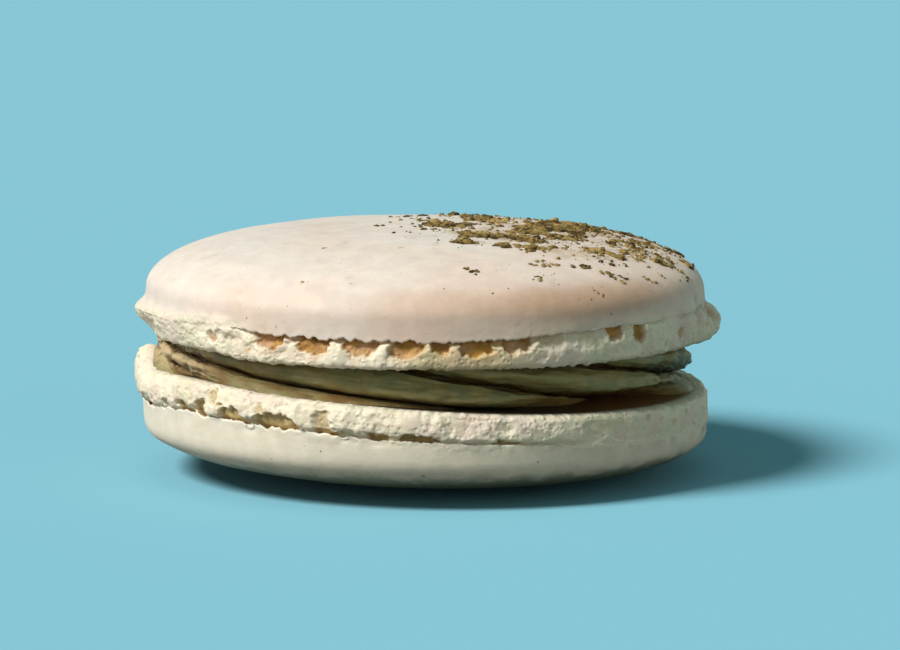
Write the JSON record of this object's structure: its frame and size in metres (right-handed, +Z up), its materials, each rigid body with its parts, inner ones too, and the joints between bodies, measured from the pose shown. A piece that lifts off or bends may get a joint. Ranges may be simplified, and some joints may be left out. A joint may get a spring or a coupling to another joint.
{
  "type": "french macaron",
  "caption": "Round almond meringue sandwich biscuit with smooth domed shells, ruffled feet and a piped swirled cream filling.",
  "frame": {"origin": "centre of the bounding box's underside, on the surface that the macaron rests on", "axes": "+Z up through both shells, -Y towards the front, +X to the right, where the filling gapes widest"},
  "size_m": [0.0472, 0.0478, 0.0198],
  "materials": {
    "shell": "baked meringue, eggshell smooth on the dome and bubbly on the foot",
    "filling": "soft piped nut cream, satin",
    "powder": "dry crushed nut powder"
  },
  "bodies": {
    "root": {"bottom_shell": "shell", "filling": "filling", "top_shell": "shell"}
  },
  "joints": []
}
